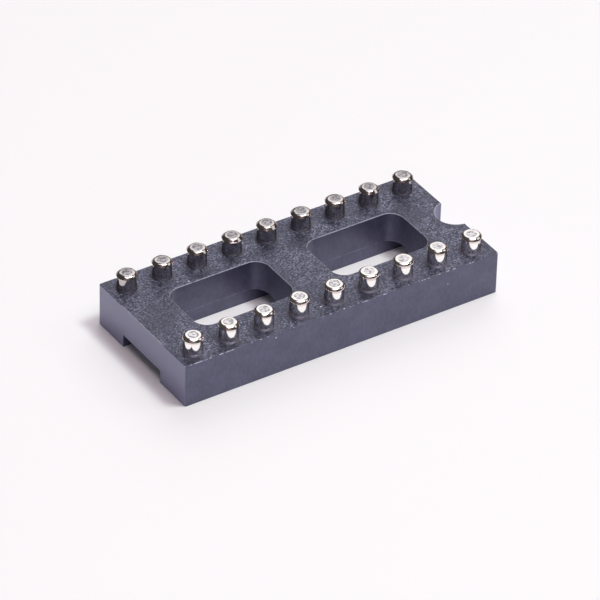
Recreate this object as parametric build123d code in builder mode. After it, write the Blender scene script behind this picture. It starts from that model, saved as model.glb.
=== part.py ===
from build123d import *
from math import radians, tan
import os

# A dual-in-line socket header with turned contacts, in millimetres.
# It lies on its mating face with the solder feet upward. The origin is the middle of the
# mating face, +X runs along the rows to the notched end and +Z points to the circuit board.

# Contact layout
pitch = 2.54
row_spacing = 7.62
contacts_per_row = 9

# Insulator
end_margin = 1.27            # from the last contact's axis to the end face
body_width = 10.0
body_height = 3.0
window_width = 4.3
window_count = 2
window_corner = 0.95
centre_bar = 3.0             # bar between two windows
end_bar = 2.93               # bar between a window and the end face
channel_width = 4.3          # shallow channel along the mating side
channel_depth = 0.9
notch_radius = 1.3
notch_centre_out = 0.15      # the notch's centre lies this far outside the end face
rim_round = 0.06             # rounding of the upper rims
relief_radius = 0.745        # countersink round each neck on the board side
relief_angle = 100
corner_round = 0.1           # rounding of the four upright corners

# Turned sleeve
flange_recess = 0.05         # the flange lies this far inside the mating face
flange_radius = 0.915
flange_thickness = 0.25
flange_clearance = 0.035     # around the flange in its counterbore
barrel_radius = 0.66
barrel_clearance = 0.02      # around the barrel in the insulator
press_ring_length = 0.4
press_ring_bevel = 0.08
foot_standoff = 1.2          # from the board side of the insulator to the foot's end face
neck_radius = 0.6
neck_recess = 0.45           # the neck starts this far inside the insulator
neck_clearance = 0.02        # around the neck in the insulator
shoulder_clearance = 0.05    # from the barrel's end to the insulator above it
foot_head_land = 0.05        # straight part of the foot's head
foot_bevel_height = 0.22     # from that land to the end face
foot_bevel_width = 0.15
foot_rim_round = 0.05        # rounding between the bevel and the end face
bore_radius = 0.475
bore_depth = 2.3             # from the flange's face to the end of the straight bore
drill_point_angle = 118

# Spring clip
lip_setback = 0.05           # the clip's lip lies this far inside the flange's face
lip_length = 0.2             # straight outside of the clip, pressed into the bore
lip_edge = 0.045             # metal left at the lip's edge
sheet = 0.08
throat_radius = 0.3          # inside of the ring that the mating pin enters
funnel_length = 0.35         # from the lip to the ring
ring_length = 0.35
finger_length = 1.0
finger_tip_radius = 0.2
finger_slot = 0.1

# Sizes that follow
body_length = (contacts_per_row - 1) * pitch + 2 * end_margin
bars_in_all = 2 * end_bar + (window_count - 1) * centre_bar
window_length = (body_length - bars_in_all) / window_count
contact_hole_radius = barrel_radius + barrel_clearance
flange_seat = flange_recess + flange_thickness
neck_start = body_height - neck_recess
contact_hole_end = neck_start + shoulder_clearance
foot_end = body_height + foot_standoff
bore_end = flange_recess + bore_depth
drill_point = bore_radius / tan(radians(drill_point_angle / 2))
lip_start = flange_recess + lip_setback
ring_start = lip_start + funnel_length
fingers_start = ring_start + ring_length
finger_tip = fingers_start + finger_length


def contact_places():
    """The (x, y) of each contact in pin order: seen from the mating side with the notch up,
    pin 1 is at the upper left, and the count goes down that row and up the other."""
    first = (contacts_per_row - 1) * pitch / 2
    side = row_spacing / 2
    down = [(first - i * pitch, -side) for i in range(contacts_per_row)]
    up = [(x, side) for x, _ in reversed(down)]
    return down + up


def upright_section(x, y):
    """A plane through a contact's axis, where a point is (distance from the axis, height)."""
    return Plane(origin=(x, y, 0), x_dir=(1, 0, 0), z_dir=(0, -1, 0))


def make_insulator():
    """The moulded body: block, channel, windows, notch and stepped contact holes."""
    board_side = Plane.XY.offset(body_height)
    with BuildPart() as insulator_body:
        with BuildSketch():
            Rectangle(body_length, body_width)
        extrude(amount=body_height)
        with BuildSketch():
            Rectangle(body_length, channel_width)
        extrude(amount=channel_depth, mode=Mode.SUBTRACT)
        with BuildSketch():
            with GridLocations(window_length + centre_bar, 0, window_count, 1):
                RectangleRounded(window_length, window_width, window_corner)
        extrude(amount=body_height, mode=Mode.SUBTRACT)
        with BuildSketch():
            with Locations((body_length / 2 + notch_centre_out, 0)):
                Circle(notch_radius)
        extrude(amount=body_height, mode=Mode.SUBTRACT)

        upright = insulator_body.edges().filter_by(Axis.Z)
        corners = upright.group_by(Axis.X)[0] + upright.group_by(Axis.X)[-1]
        fillet(corners.filter_by(lambda edge: abs(edge.center().Y) > body_width / 4), corner_round)
        fillet(insulator_body.faces().sort_by(Axis.Z)[-1].edges(), rim_round)

        # each contact has a countersunk hole for its neck, a wider one for its barrel, and a
        # counterbore on the mating side for its flange
        with Locations(board_side):
            with Locations(*contact_places()):
                CounterSinkHole(neck_radius + neck_clearance, relief_radius, body_height, relief_angle)
        with BuildSketch():
            with Locations(*contact_places()):
                Circle(contact_hole_radius)
        extrude(amount=contact_hole_end, mode=Mode.SUBTRACT)
        with BuildSketch():
            with Locations(*contact_places()):
                Circle(flange_radius + flange_clearance)
        extrude(amount=flange_seat, mode=Mode.SUBTRACT)
    return insulator_body


def make_sleeve(x, y):
    """One turned sleeve: flange, barrel with its press ring, neck and foot, blind bore."""
    ring_middle = (flange_seat + neck_start) / 2
    ring_low = ring_middle - press_ring_length / 2
    ring_high = ring_middle + press_ring_length / 2
    foot_radius = barrel_radius
    land_end = foot_end - foot_bevel_height
    with BuildPart() as contact_sleeve:
        with BuildSketch(upright_section(x, y)) as section:
            with BuildLine():
                Polyline(
                    (0, foot_end),
                    (foot_radius - foot_bevel_width, foot_end),
                    (foot_radius, land_end),
                    (foot_radius, land_end - foot_head_land),
                    (neck_radius, land_end - foot_head_land),
                    (neck_radius, neck_start),
                    (barrel_radius, neck_start),
                    (barrel_radius, ring_high + press_ring_bevel),
                    (contact_hole_radius, ring_high),
                    (contact_hole_radius, ring_low),
                    (barrel_radius, ring_low - press_ring_bevel),
                    (barrel_radius, flange_seat),
                    (flange_radius, flange_seat),
                    (flange_radius, flange_recess),
                    (bore_radius, flange_recess),
                    (bore_radius, bore_end),
                    (0, bore_end + drill_point),
                    close=True,
                )
            make_face()
            end_face_corners = section.vertices().group_by(Axis.Y)[-1]
            fillet(end_face_corners.sort_by(Axis.X)[-1], foot_rim_round)
        revolve(axis=Axis((x, y, 0), (0, 0, 1)))
    return contact_sleeve


def make_clip(x, y):
    """One spring clip: lip, funnel and ring from formed sheet, then four converging fingers."""
    ring_radius = throat_radius + sheet
    with BuildPart() as contact_clip:
        with BuildSketch(upright_section(x, y)):
            with BuildLine():
                Polyline(
                    (bore_radius - lip_edge, lip_start),
                    (bore_radius, lip_start),
                    (bore_radius, lip_start + lip_length),
                    (ring_radius, ring_start),
                    (ring_radius, fingers_start),
                    (finger_tip_radius + sheet, finger_tip),
                    (finger_tip_radius, finger_tip),
                    (throat_radius, fingers_start),
                    (throat_radius, ring_start),
                    close=True,
                )
            make_face()
        revolve(axis=Axis((x, y, 0), (0, 0, 1)))
        with BuildSketch(Plane(origin=(x, y, fingers_start))):
            Rectangle(2 * bore_radius, finger_slot)
            Rectangle(finger_slot, 2 * bore_radius)
        extrude(amount=finger_length, mode=Mode.SUBTRACT)
    return contact_clip


os.makedirs("parts", exist_ok=True)

insulator = make_insulator()
insulator.part.label = "insulator_body"
export_step(insulator.part, "parts/insulator_body.step")

for number, (x, y) in enumerate(contact_places(), start=1):
    sleeve = make_sleeve(x, y)
    sleeve.part.label = f"contact_sleeve_{number:02d}"
    export_step(sleeve.part, f"parts/{sleeve.part.label}.step")
    clip = make_clip(x, y)
    clip.part.label = f"contact_clip_{number:02d}"
    export_step(clip.part, f"parts/{clip.part.label}.step")
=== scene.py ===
import math
import random
import bmesh
import bpy
from mathutils import Matrix, Vector, noise


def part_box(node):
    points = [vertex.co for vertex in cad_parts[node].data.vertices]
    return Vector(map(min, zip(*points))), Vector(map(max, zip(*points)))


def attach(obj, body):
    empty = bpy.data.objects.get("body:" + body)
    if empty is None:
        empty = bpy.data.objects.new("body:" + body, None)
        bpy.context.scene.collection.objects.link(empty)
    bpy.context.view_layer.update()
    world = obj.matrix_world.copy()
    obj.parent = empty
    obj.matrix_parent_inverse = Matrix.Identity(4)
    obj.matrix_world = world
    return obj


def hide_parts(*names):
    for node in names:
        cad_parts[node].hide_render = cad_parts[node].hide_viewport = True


# Dresses a dual-in-line socket header with turned contacts. It lies on its mating face and
# shows its round solder feet. Sizes are in millimetres, and MM turns them into metres.
MM = 0.001

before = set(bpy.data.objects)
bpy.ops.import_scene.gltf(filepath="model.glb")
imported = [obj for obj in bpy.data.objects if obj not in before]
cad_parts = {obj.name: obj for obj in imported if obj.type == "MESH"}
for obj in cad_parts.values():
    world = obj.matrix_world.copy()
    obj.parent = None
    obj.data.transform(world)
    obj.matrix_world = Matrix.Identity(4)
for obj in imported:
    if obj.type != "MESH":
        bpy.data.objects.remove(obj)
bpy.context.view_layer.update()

# Sizes of the turned sleeve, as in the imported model
NECK_RADIUS = 0.6
FOOT_RADIUS = 0.66
NECK_RECESS = 0.45
PRESS_RING_LENGTH = 0.4
PRESS_RING_BEVEL = 0.08
PRESS_RING_RADIUS = 0.68
FLANGE_RADIUS = 0.915
FLANGE_THICKNESS = 0.25
BORE_RADIUS = 0.475
BORE_DEPTH = 2.3
DRILL_POINT = 0.285
SLEEVE_SIDES = 144
SHARP_ANGLE = 40             # degrees between two faces from which their edge is sharp
ON_AXIS = 1e-6               # a point this close to the axis lies on it

# The upset head of a foot and its neck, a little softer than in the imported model
FOOT_LAND = 0.03
FOOT_BEVEL_HEIGHT = 0.19
FOOT_BEVEL_WIDTH = 0.19
FOOT_UNDERCUT = 0.015
NECK_TAPER = 0.025
BEVEL_BULGE = (0.4, 0.9)     # share of an oval in the bevel's section
BEVEL_SEED = 100             # added to a contact's number for that draw
BEVEL_STEPS = 8
END_RINGS = 16

# Unevenness of the feet's ends
DISH_OFFSET = 0.03
DISH_RADIUS = (0.32, 0.38)
DISH_DEPTH = (0.01, 0.03)
DISH_WALL = 0.08
FOOT_TILT = 0.03
NEAR_CROWN = 0.02            # how far the rim of an end face drops below its middle
FAR_CROWN = 0.11
WAVER_START = 0.1            # this far below the head the unevenness starts
WAVER_FULL = 0.05            # and this far below the end it is full
SLOW_WAVES = 3               # waves to a millimetre
SLOW_DEPTH = 0.02
QUICK_WAVES = 7
QUICK_DEPTH = 0.015
WAVE_STEP = (3.7, 1.3, 0)    # how far one contact's waves lie from the next one's

# Marks on the insulator
INNER_EDGE = 2.4             # the windows and the channel lie within this of the long axis
INNER_FADE = 0.1
INNER_END = 9.0              # the windows' inner walls lie within this of the middle
# beyond these the end faces and the notch wall are painted paler than the other sides: painted
# light
END_FACE = 11.3
NOTCH_START = 10.2
NOTCH_REACH = 1.35
PITCH = 2.54
ROW_OFFSET = 3.81
RELIEF_RADIUS = 0.745
RELIEF_REACH = 0.8           # the painted rim highlight stays off a countersink's rim within this
MOULD_LINE_HEIGHT = 0.92
MOULD_LINE_WIDTH = 0.05

# Light that comes from the room, where 1 is white. A side is (azimuth, elevation) in degrees
# and a reach is the cosine of the angle from it at which the light starts and is full.
ROOM_GLOW = 0.07
ROOM_TINT = (1.0, 0.99, 1.0)
SWEEP_GLOW = 1.6
SWEEP_SIDE = (50, 41)
SWEEP_REACH = (0.85, 0.95)
FILL_GLOW = 0.16
FILL_SIDE = (-124, 34)
FILL_REACH = (0.82, 0.96)
WINDOW_GLOW = 1.2
WINDOW_SIDE = (-26, 36)
WINDOW_REACH = (0.965, 0.985)
BACKDROP_WHITE = 0.95
FLOOR_COLOUR = (0.93, 0.915, 0.92)
REFLECTED_FLOOR_GAIN = 1.06
FLOOR_REACH = 600
FLOOR_DROP = 0.01            # the floor lies this far below the mating face

# Camera, solved from the outline of the body and the feet in the photograph
CAMERA_AZIMUTH = -34.0
CAMERA_ELEVATION = 35.86
CAMERA_ROLL = 1.603
CAMERA_DISTANCE = 316.2
CAMERA_SIDEWAYS = 0.0725
CAMERA_UPWARD = 0.46
CAMERA_CLIP = (10, 5000)
SENSOR_WIDTH = 36.0
LENS = 306.35


def rgb(red, green, blue):
    return (red, green, blue, 1.0)


# Colours of the plastic
SIDE_DARK = rgb(0.045, 0.045, 0.078)
SIDE_PALE = rgb(0.095, 0.094, 0.155)
# the paler colour of the end faces and the notch wall is painted light
PAINTED_LIGHT_END_COLOUR = rgb(0.168, 0.165, 0.262)
TOP_DARK = rgb(0.004, 0.005, 0.010)
TOP_PALE = rgb(0.272, 0.272, 0.375)
# a pale colour painted into the countersinks against their shade: painted light
PAINTED_LIGHT_HOLLOW_COLOUR = rgb(0.170, 0.165, 0.210)
# a pale colour painted along the rounded rims: painted highlight
PAINTED_RIM_HIGHLIGHT_COLOUR = rgb(0.56, 0.56, 0.66)
LINE_COLOUR = rgb(0.30, 0.30, 0.38)
SPECK_COLOUR = rgb(0.72, 0.70, 0.66)
PLASTIC_GLOSS_TINT = rgb(0.72, 0.72, 1.0)
PLASTIC_IOR = 1.85

# Colours of the tin, first on the near row and then on the far one. The near row is painted paler
# and the far row darker: painted light and painted shade on one tin
NECK_COLOURS = (rgb(0.95, 0.93, 0.90), rgb(0.50, 0.48, 0.47))
LOW_HEAD_COLOURS = (rgb(0.80, 0.71, 0.67), rgb(0.56, 0.48, 0.45))
RIM_COLOURS = (rgb(0.68, 0.66, 0.64), rgb(0.50, 0.48, 0.47))
END_BRIGHT_COLOURS = (rgb(0.56, 0.54, 0.54), rgb(0.33, 0.31, 0.32))
END_DARK_COLOURS = (rgb(0.32, 0.31, 0.34), rgb(0.17, 0.16, 0.18))
HIGH_HEAD_COLOUR = rgb(0.90, 0.79, 0.75)
TIN_GRAZING_TINT = rgb(0.30, 0.22, 0.20)

# Colours of the gold
GOLD_DEEP = rgb(0.86, 0.62, 0.26)
GOLD_PALE = rgb(0.95, 0.74, 0.36)

body_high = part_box("insulator_body")[1] / MM
SLEEVES = sorted(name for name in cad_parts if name.startswith("contact_sleeve"))
CLIPS = sorted(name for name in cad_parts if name.startswith("contact_clip"))


class Shader:
    """A material's node tree, with short calls for the nodes that this script uses."""

    def __init__(self, name):
        self.material = bpy.data.materials.new(name)
        self.material.use_nodes = True
        self.tree = self.material.node_tree
        self.surface = self.tree.nodes["Principled BSDF"]
        self.place = self.node("ShaderNodeTexCoord").outputs["Object"]

    def node(self, kind, **settings):
        made = self.tree.nodes.new(kind)
        for key, value in settings.items():
            setattr(made, key, value)
        return made

    def feed(self, socket, value):
        if isinstance(value, bpy.types.NodeSocket):
            self.tree.links.new(value, socket)
        else:
            socket.default_value = value

    def math(self, operation, first, second=0.0):
        made = self.node("ShaderNodeMath", operation=operation)
        self.feed(made.inputs[0], first)
        self.feed(made.inputs[1], second)
        return made.outputs[0]

    def times(self, first, second):
        return self.math("MULTIPLY", first, second)

    def ramp(self, value, low, high, to_low=0.0, to_high=1.0):
        made = self.node("ShaderNodeMapRange", clamp=True, interpolation_type="SMOOTHSTEP")
        for socket, given in zip(made.inputs, (value, low, high, to_low, to_high)):
            self.feed(socket, given)
        return made.outputs["Result"]

    def stretched(self, x, y, z):
        made = self.node("ShaderNodeMapping")
        self.feed(made.inputs["Vector"], self.place)
        made.inputs["Scale"].default_value = (x, y, z)
        return made.outputs["Vector"]

    def noise(self, size, detail=2.0, roughness=0.5, vector=None):
        """Noise whose blotches are about size millimetres across."""
        made = self.node("ShaderNodeTexNoise")
        self.feed(made.inputs["Vector"], vector or self.place)
        made.inputs["Scale"].default_value = 1 / (size * MM)
        made.inputs["Detail"].default_value = detail
        made.inputs["Roughness"].default_value = roughness
        return made.outputs["Fac"]

    def mix(self, share, first, second):
        made = self.node("ShaderNodeMix", data_type="RGBA")
        self.feed(made.inputs["Factor"], share)
        self.feed(made.inputs["A"], first)
        self.feed(made.inputs["B"], second)
        return made.outputs["Result"]

    def blend(self, share, first, second):
        made = self.node("ShaderNodeMix", data_type="FLOAT")
        self.feed(made.inputs["Factor"], share)
        self.feed(made.inputs["A"], first)
        self.feed(made.inputs["B"], second)
        return made.outputs["Result"]

    def specks(self, spacing, reach, rarity):
        """A mask of sparse round specks: cells spacing millimetres apart, of which the share
        above rarity has a speck, whose radius is reach as a share of the spacing."""
        made = self.node("ShaderNodeTexVoronoi")
        self.feed(made.inputs["Vector"], self.place)
        made.inputs["Scale"].default_value = 1 / (spacing * MM)
        split = self.node("ShaderNodeSeparateColor")
        self.feed(split.inputs[0], made.outputs["Color"])
        chosen = self.math("GREATER_THAN", split.outputs[0], rarity)
        return self.times(self.ramp(made.outputs["Distance"], reach, reach * 0.6), chosen)

    def axes(self, vector):
        made = self.node("ShaderNodeSeparateXYZ")
        self.feed(made.inputs[0], vector)
        return made.outputs

    def bump(self, height, depth, strength=1.0, under=None):
        """Bump whose full swing of height stands for depth millimetres."""
        made = self.node("ShaderNodeBump")
        made.inputs["Strength"].default_value = strength
        made.inputs["Distance"].default_value = depth * MM
        self.feed(made.inputs["Height"], height)
        if under is not None:
            self.feed(made.inputs["Normal"], under)
        return made.outputs["Normal"]

    def set(self, **sockets):
        for key, value in sockets.items():
            self.feed(self.surface.inputs[key.replace("_", " ")], value)


def insulator_material():
    """Glass-filled black plastic: a speckled top with painted glints, smoother sides, end faces
    and notch wall painted paler (painted light), rims with a painted highlight, countersinks
    painted lighter against their shade (painted light) and a mould line inside the windows."""
    m = Shader("insulator_plastic")
    facing = m.axes(m.node("ShaderNodeNewGeometry").outputs["Normal"])
    up = facing["Z"]
    top = m.ramp(up, 0.75, 0.97)
    side = m.ramp(up, 0.3, 0.05)
    rim = m.times(m.ramp(up, 0.08, 0.3), m.ramp(up, 0.97, 0.85))

    # where on the body a point lies: squares is the squared distance from the nearest contact
    across = m.axes(m.place)
    from_middle = m.math("ABSOLUTE", across["Y"])
    from_centre = m.math("ABSOLUTE", across["X"])
    inner = m.ramp(from_middle, INNER_EDGE * MM, (INNER_EDGE - INNER_FADE) * MM)
    along = m.math("PINGPONG", across["X"], PITCH / 2 * MM)
    beside = m.math("SUBTRACT", from_middle, ROW_OFFSET * MM)
    squares = m.math("ADD", m.math("POWER", along, 2.0), m.math("POWER", beside, 2.0))
    clear = m.math("GREATER_THAN", squares, (RELIEF_REACH * MM) ** 2)
    # this mask marks the countersinks, which are painted lighter: painted light
    painted_light_hollow = m.math("LESS_THAN", squares, (RELIEF_RADIUS * MM) ** 2)
    # masks for the end faces and the notch wall, which are painted paler: painted light
    at_end = m.math("GREATER_THAN", from_centre, END_FACE * MM)
    painted_light_ends = m.times(m.ramp(m.math("ABSOLUTE", facing["X"]), 0.5, 0.95), at_end)
    painted_light_notch = m.times(m.math("GREATER_THAN", across["X"], NOTCH_START * MM),
                    m.math("LESS_THAN", from_middle, NOTCH_REACH * MM))

    grain = m.noise(size=0.22, detail=2.0, roughness=0.6)
    glints = m.noise(size=0.13, detail=1.0, vector=m.stretched(1.0, 1.3, 1.0))
    cloud = m.noise(size=1.8, detail=4.0, roughness=0.65)
    blotches = m.noise(size=0.9, detail=3.0, roughness=0.55)
    fine = m.noise(size=0.16, detail=1.0, vector=m.stretched(1.0, 1.0, 0.5))
    # patchiness breaks up the painted rim highlight and the mould line
    patchiness = m.noise(size=0.3, detail=3.0, roughness=0.6)

    side_tone = m.math("ADD", m.times(m.ramp(blotches, 0.3, 0.7), 0.4),
                       m.times(m.ramp(fine, 0.35, 0.65), 0.25))
    side_colour = m.mix(side_tone, SIDE_DARK, SIDE_PALE)
    # painted light: the end faces and the notch wall take a paler colour
    side_colour = m.mix(m.math("MAXIMUM", painted_light_ends, painted_light_notch), side_colour, PAINTED_LIGHT_END_COLOUR)
    # top colour: the plastic's own grain plus bright specks from the glints noise, which are
    # painted glints, in a random cloudy tone
    top_tone = m.math("ADD", m.times(m.ramp(grain, 0.44, 0.60), 0.5), m.ramp(glints, 0.54, 0.66))
    top_tone = m.times(top_tone, m.ramp(cloud, 0.36, 0.62, 1.3, 0.35))
    top_colour = m.mix(m.times(top_tone, 0.5), TOP_DARK, TOP_PALE)
    colour = m.mix(top, side_colour, top_colour)
    # painted light: the countersinks around the feet are painted lighter than the plastic around
    # them
    colour = m.mix(m.times(painted_light_hollow, m.ramp(up, 0.3, 0.5)), colour, PAINTED_LIGHT_HOLLOW_COLOUR)

    # painted highlight: a pale line along the rounded rims, broken on the outer rims and nearly
    # continuous on the windows' rims, kept off the countersinks
    painted_rim_highlight = m.blend(inner, m.ramp(patchiness, 0.54, 0.61), m.ramp(patchiness, 0.3, 0.6, 0.35, 1.0))
    painted_rim_highlight = m.times(painted_rim_highlight, m.times(rim, clear))
    colour = m.mix(m.times(painted_rim_highlight, 0.8), colour, PAINTED_RIM_HIGHLIGHT_COLOUR)
    line = m.math("COMPARE", across["Z"], MOULD_LINE_HEIGHT * MM)
    line.node.inputs[2].default_value = MOULD_LINE_WIDTH / 2 * MM
    line = m.times(m.times(line, inner), m.times(side, m.ramp(patchiness, 0.35, 0.6)))
    colour = m.mix(m.times(line, 0.45), colour, LINE_COLOUR)
    colour = m.mix(m.specks(spacing=0.55, reach=0.12, rarity=0.91), colour, SPECK_COLOUR)

    within = m.times(inner, m.math("LESS_THAN", from_centre, INNER_END * MM))
    wall_rough = m.ramp(facing["X"], -0.4, -0.9, 0.32, 0.65)
    side_rough = m.blend(within, 0.28, wall_rough)
    rough = m.blend(top, side_rough, m.ramp(glints, 0.4, 0.65, 0.60, 0.42))
    relief = m.times(grain, m.ramp(top, 0.0, 1.0, 0.3, 1.0))
    m.set(Base_Color=colour, Roughness=rough, Normal=m.bump(relief, depth=0.03, strength=0.8))
    m.set(IOR=PLASTIC_IOR)
    m.surface.inputs["Specular Tint"].default_value = PLASTIC_GLOSS_TINT
    return m.material


def tin_material():
    """Tin on turned brass: smooth sides with faint turning marks, a mottled dish at the end.
    The row on the far side is painted darker than the near one: painted shade."""
    m = Shader("tin_plating")
    up = m.axes(m.node("ShaderNodeNewGeometry").outputs["Normal"])["Z"]
    end_face = m.ramp(up, 0.6, 0.95)
    # the far row takes the darker copy of each tin colour (painted shade) and the near row the
    # paler one (painted light)
    painted_shade_far_row = m.ramp(m.axes(m.place)["Y"], -MM, MM)

    # how high up the sleeve a point lies, from 0 to 1, and how far from its axis
    within = m.axes(m.node("ShaderNodeTexCoord").outputs["Generated"])
    height = within["Z"]
    off_x = m.math("SUBTRACT", within["X"], 0.5)
    off_y = m.math("SUBTRACT", within["Y"], 0.5)
    squares = m.math("ADD", m.math("POWER", off_x, 2.0), m.math("POWER", off_y, 2.0))
    radius = m.times(m.math("SQRT", squares), 2 * FLANGE_RADIUS)
    head = m.ramp(height, 0.9, 0.91)
    inner = m.ramp(radius, 0.42, 0.30)
    dish = m.times(m.ramp(radius, 0.36, 0.30), m.ramp(height, 0.9, 0.95))

    marks = m.noise(size=0.05, vector=m.stretched(0.05, 0.05, 1.0))
    dents = m.noise(size=0.2)
    low_head = m.mix(painted_shade_far_row, *LOW_HEAD_COLOURS)
    head_colour = m.mix(m.ramp(height, 0.96, 1.0), low_head, HIGH_HEAD_COLOUR)
    end_bright = m.mix(inner, m.mix(painted_shade_far_row, *RIM_COLOURS), m.mix(painted_shade_far_row, *END_BRIGHT_COLOURS))
    end_dark = m.mix(painted_shade_far_row, *END_DARK_COLOURS)
    plain = m.mix(head, m.mix(painted_shade_far_row, *NECK_COLOURS), head_colour)
    plain = m.mix(end_face, plain, end_bright)
    mottled = m.mix(m.ramp(dents, 0.36, 0.58), end_dark, end_bright)
    rough = m.math("ADD", m.blend(end_face, 0.08, 0.16), m.times(dents, 0.05))
    normal = m.bump(marks, depth=0.002, strength=0.5)
    relief = m.times(dents, m.ramp(end_face, 0.0, 1.0, 0.2, 1.0))
    normal = m.bump(relief, depth=0.010, strength=0.6, under=normal)
    m.set(Base_Color=m.mix(dish, plain, mottled), Roughness=rough, Normal=normal)
    m.set(Metallic=1.0)
    m.surface.inputs["Specular Tint"].default_value = TIN_GRAZING_TINT
    return m.material


def gold_material():
    """Soft gold plating on the spring clips."""
    m = Shader("gold_plating")
    blotches = m.noise(size=0.3)
    tint = m.mix(blotches, GOLD_DEEP, GOLD_PALE)
    m.set(Base_Color=tint, Roughness=m.ramp(blotches, 0.3, 0.7, 0.2, 0.32))
    m.set(Metallic=1.0)
    return m.material


def floor_material():
    """Near-white seamless board, which reads as white in what reflects it."""
    m = Shader("floor_board")
    reflected = m.node("ShaderNodeLightPath").outputs["Is Glossy Ray"]
    lifted = rgb(*(REFLECTED_FLOOR_GAIN * part for part in FLOOR_COLOUR))
    m.set(Base_Color=m.mix(reflected, rgb(*FLOOR_COLOUR), lifted), Roughness=0.9)
    m.set(Specular_IOR_Level=0.0)
    return m.material


def link(name, mesh, material):
    made = bpy.data.objects.new(name, mesh)
    bpy.context.scene.collection.objects.link(made)
    mesh.materials.append(material)
    return made


def lathe(name, profile, x, y, material, sides, waver=None):
    """A closed solid turned about the upright axis at (x, y), from (radius, height) points in
    millimetres. The first and last points lie on the axis. waver moves each point a little."""
    bm = bmesh.new()

    def point(radius, angle, height):
        place = Vector((radius * math.cos(angle), radius * math.sin(angle), height))
        if waver:
            place = waver(place)
        return bm.verts.new(((x + place.x) * MM, (y + place.y) * MM, place.z * MM))

    rings = []
    for radius, height in profile:
        count = 1 if radius < ON_AXIS else sides
        rings.append([point(radius, 2 * math.pi * k / count, height) for k in range(count)])
    for low, high in zip(rings, rings[1:]):
        for k in range(sides):
            n = (k + 1) % sides
            if len(low) == 1:
                bm.faces.new((low[0], high[n], high[k]))
            elif len(high) == 1:
                bm.faces.new((low[k], low[n], high[0]))
            else:
                bm.faces.new((low[k], low[n], high[n], high[k]))
    bmesh.ops.recalc_face_normals(bm, faces=bm.faces)
    mesh = bpy.data.meshes.new(name)
    bm.to_mesh(mesh)
    bm.free()
    made = link(name, mesh, material)
    for polygon in mesh.polygons:
        polygon.use_smooth = True
    mesh.set_sharp_from_angle(angle=math.radians(SHARP_ANGLE))
    return made


def smooth_step(low, high, value):
    share = min(max((value - low) / (high - low), 0.0), 1.0)
    return share * share * (3 - 2 * share)


def foot_waver(end, number, far):
    """Moves points near a foot's end: a low crown, a shallow off-centre dish and an uneven rim."""
    draw = random.Random(number)
    dish_x, dish_y = (draw.uniform(-DISH_OFFSET, DISH_OFFSET) for _ in range(2))
    reach = draw.uniform(*DISH_RADIUS)
    depth = draw.uniform(*DISH_DEPTH)
    tilt = draw.uniform(0.0, FOOT_TILT)
    crown = FAR_CROWN if far else NEAR_CROWN
    start = end - FOOT_BEVEL_HEIGHT - FOOT_LAND - WAVER_START
    way = draw.uniform(0.0, 2 * math.pi)
    seed = Vector([number * step for step in WAVE_STEP])

    def waver(place):
        near_end = smooth_step(start, end - WAVER_FULL, place.z)
        if near_end <= 0:
            return place
        radius = math.hypot(place.x - dish_x, place.y - dish_y)
        inside = 1 - smooth_step(reach - DISH_WALL, reach, radius)
        slow = noise.noise(place * SLOW_WAVES + seed) * SLOW_DEPTH
        quick = noise.noise(place * QUICK_WAVES + seed) * QUICK_DEPTH * inside
        lean = tilt * (place.x * math.cos(way) + place.y * math.sin(way)) / FOOT_RADIUS
        low_rim = crown * (radius / FOOT_RADIUS) ** 2
        sink = depth * inside + abs(slow) + quick + (tilt - lean) / 2 + low_rim
        bulge = 1 + slow * near_end
        return Vector((place.x * bulge, place.y * bulge, place.z - max(sink, 0) * near_end))

    return waver


def bevel(edge, low, bulge):
    """Points up the bevel of a foot's head, between a straight line and a quarter of an oval."""
    points = []
    for i in range(1, BEVEL_STEPS + 1):
        share = i / BEVEL_STEPS
        turn = share * math.pi / 2
        out = (1 - bulge) * (1 - share) + bulge * math.cos(turn)
        rise = (1 - bulge) * share + bulge * math.sin(turn)
        points.append((edge + FOOT_BEVEL_WIDTH * out, low + FOOT_BEVEL_HEIGHT * rise))
    return points


def dressed_sleeve(node, material):
    """The turned sleeve with its real unevenness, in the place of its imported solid."""
    low, high = (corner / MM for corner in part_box(node))
    x, y = (low.x + high.x) / 2, (low.y + high.y) / 2
    base, end = low.z, high.z
    seat = base + FLANGE_THICKNESS
    neck_foot = body_high.z - NECK_RECESS
    ring_middle = (seat + neck_foot) / 2
    ring_low = ring_middle - PRESS_RING_LENGTH / 2
    ring_high = ring_middle + PRESS_RING_LENGTH / 2
    land_top = end - FOOT_BEVEL_HEIGHT
    land_low = land_top - FOOT_LAND
    bore_end = base + BORE_DEPTH
    number = int(node[-2:])
    bulge = random.Random(number + BEVEL_SEED).uniform(*BEVEL_BULGE)
    edge = FOOT_RADIUS - FOOT_BEVEL_WIDTH
    profile = [(0, bore_end + DRILL_POINT), (BORE_RADIUS, bore_end), (BORE_RADIUS, base)]
    profile += [(FLANGE_RADIUS, base), (FLANGE_RADIUS, seat), (FOOT_RADIUS, seat)]
    profile += [(FOOT_RADIUS, ring_low - PRESS_RING_BEVEL), (PRESS_RING_RADIUS, ring_low)]
    profile += [(PRESS_RING_RADIUS, ring_high), (FOOT_RADIUS, ring_high + PRESS_RING_BEVEL)]
    profile += [(FOOT_RADIUS, neck_foot), (NECK_RADIUS, neck_foot)]
    profile += [(NECK_RADIUS + NECK_TAPER, body_high.z), (NECK_RADIUS - NECK_TAPER, land_low)]
    profile += [(FOOT_RADIUS - FOOT_UNDERCUT, land_low), (FOOT_RADIUS, land_top)]
    profile += bevel(edge, land_top, bulge)
    profile += [(edge * (1 - i / END_RINGS), end) for i in range(1, END_RINGS)]
    profile += [(0, end)]
    name = node.replace("contact_sleeve", "turned_sleeve")
    made = lathe(name, profile, x, y, material, SLEEVE_SIDES, foot_waver(end, number, y > 0))
    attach(made, "root")
    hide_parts(node)
    return made


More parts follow.
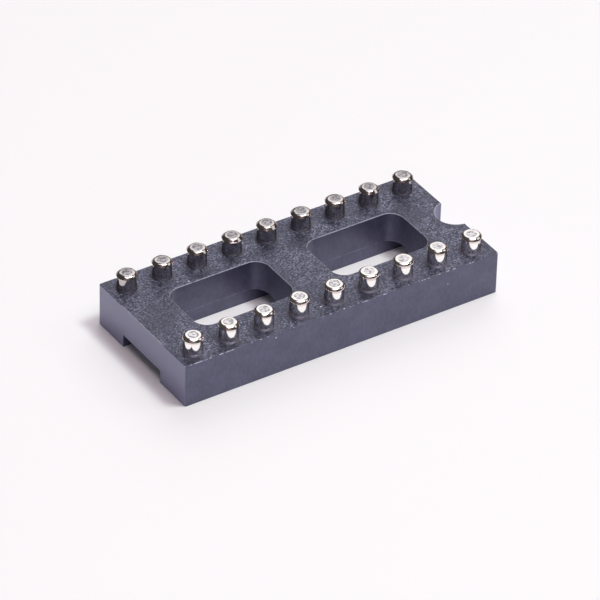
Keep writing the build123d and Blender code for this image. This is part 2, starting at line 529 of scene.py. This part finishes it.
def add_floor():
    bm = bmesh.new()
    bmesh.ops.create_grid(bm, x_segments=1, y_segments=1, size=FLOOR_REACH * MM)
    mesh = bpy.data.meshes.new("floor")
    bm.to_mesh(mesh)
    bm.free()
    floor = link("floor", mesh, floor_material())
    floor.location.z = -FLOOR_DROP * MM


def add_world():
    """A dim room with a lit sweep above, behind and to the right, a paler wall behind the
    camera and a small window to the right of it. The camera itself sees near-white."""
    world = bpy.data.worlds.new("studio")
    bpy.context.scene.world = world
    world.use_nodes = True
    tree = world.node_tree
    link_up = tree.links.new
    background = tree.nodes["Background"]
    way = tree.nodes.new("ShaderNodeTexCoord").outputs["Generated"]

    def glow_from(side, reach, dark, bright):
        azimuth, elevation = (math.radians(angle) for angle in side)
        level = math.cos(elevation)
        toward = tree.nodes.new("ShaderNodeVectorMath")
        toward.operation = "DOT_PRODUCT"
        link_up(way, toward.inputs[0])
        aim = (math.cos(azimuth) * level, math.sin(azimuth) * level, math.sin(elevation))
        toward.inputs[1].default_value = aim
        lit = tree.nodes.new("ShaderNodeMapRange")
        lit.interpolation_type = "SMOOTHSTEP"
        link_up(toward.outputs["Value"], lit.inputs["Value"])
        limits = {"From Min": reach[0], "From Max": reach[1], "To Min": dark, "To Max": bright}
        for name, value in limits.items():
            lit.inputs[name].default_value = value
        return lit.outputs["Result"]

    glow = glow_from(SWEEP_SIDE, SWEEP_REACH, ROOM_GLOW, SWEEP_GLOW)
    smaller = ((FILL_SIDE, FILL_REACH, FILL_GLOW), (WINDOW_SIDE, WINDOW_REACH, WINDOW_GLOW))
    for side, reach, bright in smaller:
        added = tree.nodes.new("ShaderNodeMath")
        link_up(glow, added.inputs[0])
        link_up(glow_from(side, reach, 0, bright), added.inputs[1])
        glow = added.outputs[0]
    seen = tree.nodes.new("ShaderNodeLightPath").outputs["Is Camera Ray"]
    choose = tree.nodes.new("ShaderNodeMix")
    choose.data_type = "FLOAT"
    link_up(seen, choose.inputs["Factor"])
    link_up(glow, choose.inputs["A"])
    choose.inputs["B"].default_value = BACKDROP_WHITE
    background.inputs["Color"].default_value = rgb(*ROOM_TINT)
    link_up(choose.outputs["Result"], background.inputs["Strength"])


def add_softbox(name, tilt_right, tilt_back, distance, spread, glow, colour):
    """A square lamp above the origin. It leans by two angles from overhead, spreads by a half
    angle, and lifts a white floor by glow."""
    lamp = bpy.data.lights.new(name, "AREA")
    lamp.color = colour
    lamp.size = 2 * distance * math.tan(math.radians(spread)) * MM
    lamp.energy = glow * (math.pi * distance * MM) ** 2
    holder = bpy.data.objects.new(name, lamp)
    bpy.context.scene.collection.objects.link(holder)
    lean = Vector((math.tan(math.radians(tilt_right)), math.tan(math.radians(tilt_back)), 1))
    way = lean.normalized()
    holder.location = way * distance * MM
    holder.rotation_mode = "QUATERNION"
    holder.rotation_quaternion = way.to_track_quat("Z", "Y")


def add_camera():
    """The camera of the photograph: its direction, roll and distance, with no lens shift."""
    azimuth, elevation = math.radians(CAMERA_AZIMUTH), math.radians(CAMERA_ELEVATION)
    roll = math.radians(CAMERA_ROLL)
    level = math.cos(elevation)
    back = Vector((math.sin(azimuth) * level, -math.cos(azimuth) * level, math.sin(elevation)))
    right = Vector((math.cos(azimuth), math.sin(azimuth), 0))
    up = back.cross(right)
    turned_right = right * math.cos(roll) + up * math.sin(roll)
    turned_up = up * math.cos(roll) - right * math.sin(roll)
    place = back * CAMERA_DISTANCE + turned_right * CAMERA_SIDEWAYS + turned_up * CAMERA_UPWARD
    camera = bpy.data.cameras.new("camera")
    camera.sensor_width = SENSOR_WIDTH
    camera.lens = LENS
    camera.clip_start, camera.clip_end = (reach * MM for reach in CAMERA_CLIP)
    holder = bpy.data.objects.new("camera", camera)
    bpy.context.scene.collection.objects.link(holder)
    turn = Matrix((turned_right, turned_up, back)).transposed().to_4x4()
    holder.matrix_world = Matrix.Translation(place * MM) @ turn
    bpy.context.scene.camera = holder


bpy.context.scene.view_settings.view_transform = "Standard"
add_camera()
add_world()
add_floor()
add_softbox("overhead_softbox", tilt_right=0, tilt_back=-12, distance=700, spread=22,
            glow=0.505, colour=(1.0, 0.87, 0.95))
add_softbox("key_softbox", tilt_right=17, tilt_back=-14, distance=700, spread=7,
            glow=0.435, colour=(0.84, 0.94, 0.89))

plastic = insulator_material()
tin = tin_material()
gold = gold_material()
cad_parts["insulator_body"].data.materials[0] = plastic
for name in CLIPS:
    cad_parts[name].data.materials[0] = gold
for name in SLEEVES:
    dressed_sleeve(name, tin)
